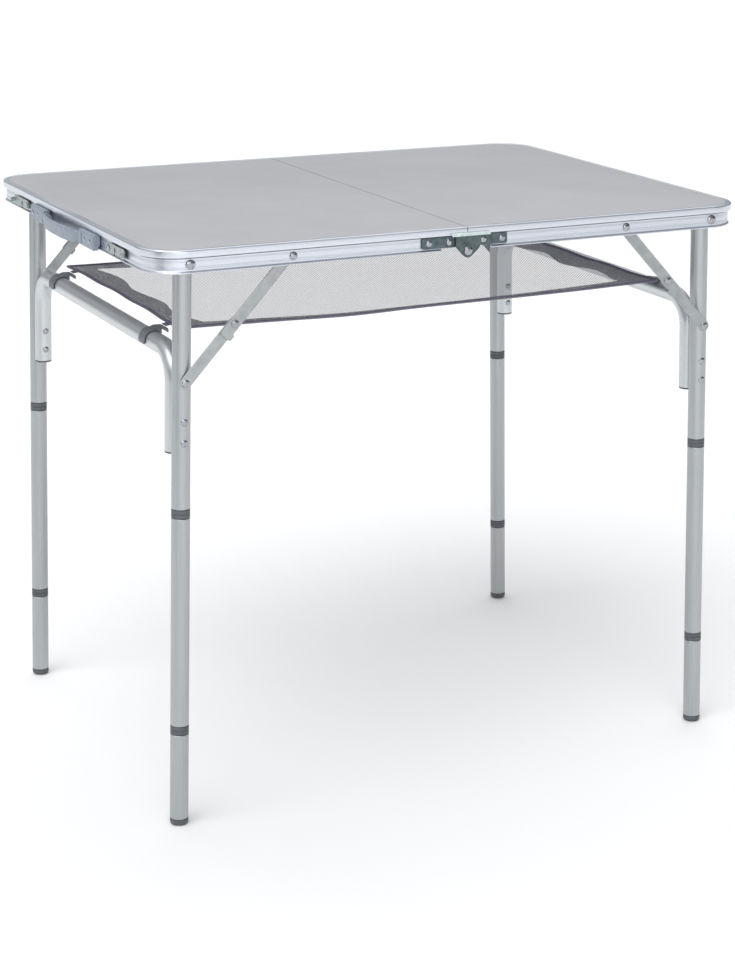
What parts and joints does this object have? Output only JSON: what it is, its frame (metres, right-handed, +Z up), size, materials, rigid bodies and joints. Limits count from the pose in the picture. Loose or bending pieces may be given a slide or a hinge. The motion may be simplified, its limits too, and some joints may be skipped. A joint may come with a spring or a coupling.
{
  "type": "folding table",
  "caption": "Rectangular folding table: two hinged top halves with a metal rim, folding U-frame legs with braces and plug-in sections, a net shelf and a carry handle.",
  "frame": {"origin": "centre of the standing table's footprint box, on the ground plane", "axes": "+X along the long side, from the carry handle's end to the catches' end; +Y across, from the front to the rear; +Z up"},
  "size_m": [0.8172, 0.6104, 0.7],
  "materials": {
    "rim": "satin anodised extrusion",
    "laminate": "matte light grey laminate on fibreboard",
    "tube": "satin drawn tube",
    "brace": "zinc-plated strip",
    "hinge": "dark greenish-grey steel",
    "rivet": "bright rivet",
    "collar": "moulded dark grey plastic",
    "handle": "moulded blue-grey plastic",
    "hook": "moulded mid-grey plastic",
    "net": "open knitted net with bound hems"
  },
  "bodies": {
    "left_half": {"rim_left": "rim", "top_board_left": "laminate", "hinge_leaf_left_front": "hinge", "hinge_leaf_left_rear": "hinge", "hinge_pin_front": "rivet", "hinge_pin_rear": "rivet", "handle_bracket_front": "handle", "handle_bracket_rear": "handle", "net_shelf": "net"},
    "right_half": {"rim_right": "rim", "top_board_right": "laminate", "hinge_leaf_right_front": "hinge", "hinge_leaf_right_rear": "hinge"},
    "left_legs": {"cross_tube_left": "tube", "leg_tube_upper_left_front": "tube", "cross_plug_left_front": "collar", "leg_tube_upper_left_rear": "tube", "cross_plug_left_rear": "collar"},
    "left_net_hooks": {"net_hook_left_front": "hook", "net_hook_left_rear": "hook"},
    "brace_upper_left_front": {"brace_upper_left_front": "brace"},
    "brace_lower_left_front": {"brace_lower_left_front": "brace"},
    "leg_middle_left_front": {"leg_connector_upper_left_front": "collar", "leg_tube_middle_left_front": "tube"},
    "leg_lower_left_front": {"leg_connector_lower_left_front": "collar", "leg_tube_lower_left_front": "tube", "foot_left_front": "collar"},
    "brace_upper_left_rear": {"brace_upper_left_rear": "brace"},
    "brace_lower_left_rear": {"brace_lower_left_rear": "brace"},
    "leg_middle_left_rear": {"leg_connector_upper_left_rear": "collar", "leg_tube_middle_left_rear": "tube"},
    "leg_lower_left_rear": {"leg_connector_lower_left_rear": "collar", "leg_tube_lower_left_rear": "tube", "foot_left_rear": "collar"},
    "right_legs": {"cross_tube_right": "tube", "leg_tube_upper_right_front": "tube", "cross_plug_right_front": "collar", "leg_tube_upper_right_rear": "tube", "cross_plug_right_rear": "collar"},
    "right_net_hooks": {"net_hook_right_front": "hook", "net_hook_right_rear": "hook"},
    "brace_upper_right_front": {"brace_upper_right_front": "brace"},
    "brace_lower_right_front": {"brace_lower_right_front": "brace"},
    "leg_middle_right_front": {"leg_connector_upper_right_front": "collar", "leg_tube_middle_right_front": "tube"},
    "leg_lower_right_front": {"leg_connector_lower_right_front": "collar", "leg_tube_lower_right_front": "tube", "foot_right_front": "collar"},
    "brace_upper_right_rear": {"brace_upper_right_rear": "brace"},
    "brace_lower_right_rear": {"brace_lower_right_rear": "brace"},
    "leg_middle_right_rear": {"leg_connector_upper_right_rear": "collar", "leg_tube_middle_right_rear": "tube"},
    "leg_lower_right_rear": {"leg_connector_lower_right_rear": "collar", "leg_tube_lower_right_rear": "tube", "foot_right_rear": "collar"},
    "carry_handle": {"carry_handle": "handle"},
    "latch_front": {"latch_front": "hinge"},
    "latch_rear": {"latch_rear": "hinge"}
  },
  "joints": [
    {"name": "centre_fold", "type": "hinge", "parent": "left_half", "child": "right_half", "pos_m": [0.00741, 0, 0.6718], "axis": [0, 1, 0], "range_deg": [0, 50], "deforming": ["net_shelf"]},
    {"name": "left_leg_fold", "type": "hinge", "parent": "left_half", "child": "left_legs", "pos_m": [-0.34359, 0, 0.6826], "axis": [0, 1, 0], "range_deg": [-90, 0], "deforming": ["net_shelf"]},
    {"name": "left_net_hooks_turn", "type": "hinge", "parent": "left_legs", "child": "left_net_hooks", "pos_m": [-0.34566, 0, 0.571], "axis": [0, 1, 0], "range_deg": [0, 110]},
    {"name": "brace_upper_left_front_turn", "type": "hinge", "parent": "left_half", "child": "brace_upper_left_front", "pos_m": [-0.21719, -0.286, 0.6826], "axis": [0, 1, 0], "range_deg": [-133, 0]},
    {"name": "brace_lower_left_front_turn", "type": "hinge", "parent": "brace_upper_left_front", "child": "brace_lower_left_front", "pos_m": [-0.28643, -0.284, 0.60726], "axis": [0, 1, 0], "range_deg": [0, 180]},
    {"name": "leg_middle_left_front_pull", "type": "slide", "parent": "left_legs", "child": "leg_middle_left_front", "axis": [-0.0186, 0, -0.9998], "range_m": [0, 0.35]},
    {"name": "leg_lower_left_front_pull", "type": "slide", "parent": "leg_middle_left_front", "child": "leg_lower_left_front", "axis": [-0.0186, 0, -0.9998], "range_m": [0, 0.06]},
    {"name": "brace_upper_left_rear_turn", "type": "hinge", "parent": "left_half", "child": "brace_upper_left_rear", "pos_m": [-0.21719, 0.286, 0.6826], "axis": [0, 1, 0], "range_deg": [-133, 0]},
    {"name": "brace_lower_left_rear_turn", "type": "hinge", "parent": "brace_upper_left_rear", "child": "brace_lower_left_rear", "pos_m": [-0.28643, 0.284, 0.60726], "axis": [0, 1, 0], "range_deg": [0, 180]},
    {"name": "leg_middle_left_rear_pull", "type": "slide", "parent": "left_legs", "child": "leg_middle_left_rear", "axis": [-0.0186, 0, -0.9998], "range_m": [0, 0.35]},
    {"name": "leg_lower_left_rear_pull", "type": "slide", "parent": "leg_middle_left_rear", "child": "leg_lower_left_rear", "axis": [-0.0186, 0, -0.9998], "range_m": [0, 0.06]},
    {"name": "right_leg_fold", "type": "hinge", "parent": "right_half", "child": "right_legs", "pos_m": [0.35841, 0, 0.6826], "axis": [0, 1, 0], "range_deg": [0, 90], "deforming": ["net_shelf"]},
    {"name": "right_net_hooks_turn", "type": "hinge", "parent": "right_legs", "child": "right_net_hooks", "pos_m": [0.36049, 0, 0.571], "axis": [0, 1, 0], "range_deg": [-110, 0]},
    {"name": "brace_upper_right_front_turn", "type": "hinge", "parent": "right_half", "child": "brace_upper_right_front", "pos_m": [0.23201, -0.286, 0.6826], "axis": [0, 1, 0], "range_deg": [0, 133]},
    {"name": "brace_lower_right_front_turn", "type": "hinge", "parent": "brace_upper_right_front", "child": "brace_lower_right_front", "pos_m": [0.30125, -0.284, 0.60726], "axis": [0, 1, 0], "range_deg": [-180, 0]},
    {"name": "leg_middle_right_front_pull", "type": "slide", "parent": "right_legs", "child": "leg_middle_right_front", "axis": [0.0186, 0, -0.9998], "range_m": [0, 0.35]},
    {"name": "leg_lower_right_front_pull", "type": "slide", "parent": "leg_middle_right_front", "child": "leg_lower_right_front", "axis": [0.0186, 0, -0.9998], "range_m": [0, 0.06]},
    {"name": "brace_upper_right_rear_turn", "type": "hinge", "parent": "right_half", "child": "brace_upper_right_rear", "pos_m": [0.23201, 0.286, 0.6826], "axis": [0, 1, 0], "range_deg": [0, 133]},
    {"name": "brace_lower_right_rear_turn", "type": "hinge", "parent": "brace_upper_right_rear", "child": "brace_lower_right_rear", "pos_m": [0.30125, 0.284, 0.60726], "axis": [0, 1, 0], "range_deg": [-180, 0]},
    {"name": "leg_middle_right_rear_pull", "type": "slide", "parent": "right_legs", "child": "leg_middle_right_rear", "axis": [0.0186, 0, -0.9998], "range_m": [0, 0.35]},
    {"name": "leg_lower_right_rear_pull", "type": "slide", "parent": "leg_middle_right_rear", "child": "leg_lower_right_rear", "axis": [0.0186, 0, -0.9998], "range_m": [0, 0.06]},
    {"name": "carry_handle_lift", "type": "hinge", "parent": "left_half", "child": "carry_handle", "pos_m": [-0.39409, 0, 0.681], "axis": [0, 1, 0], "range_deg": [0, 35]},
    {"name": "latch_front_swing", "type": "hinge", "parent": "left_half", "child": "latch_front", "pos_m": [-0.39149, -0.158, 0.6824], "axis": [1, 0, 0], "range_deg": [0, 90]},
    {"name": "latch_rear_swing", "type": "hinge", "parent": "left_half", "child": "latch_rear", "pos_m": [-0.39149, 0.158, 0.6824], "axis": [-1, 0, 0], "range_deg": [0, 90]}
  ],
  "couplings": [
    {"joint": "left_net_hooks_turn", "follows": "left_leg_fold", "ratio": -1.2},
    {"joint": "brace_upper_left_front_turn", "follows": "left_leg_fold", "ratio": 1.4591},
    {"joint": "brace_lower_left_front_turn", "follows": "left_leg_fold", "ratio": -1.9834},
    {"joint": "brace_upper_left_rear_turn", "follows": "left_leg_fold", "ratio": 1.4591},
    {"joint": "brace_lower_left_rear_turn", "follows": "left_leg_fold", "ratio": -1.9834},
    {"joint": "right_net_hooks_turn", "follows": "right_leg_fold", "ratio": -1.2},
    {"joint": "brace_upper_right_front_turn", "follows": "right_leg_fold", "ratio": 1.4591},
    {"joint": "brace_lower_right_front_turn", "follows": "right_leg_fold", "ratio": -1.9834},
    {"joint": "brace_upper_right_rear_turn", "follows": "right_leg_fold", "ratio": 1.4591},
    {"joint": "brace_lower_right_rear_turn", "follows": "right_leg_fold", "ratio": -1.9834}
  ]
}
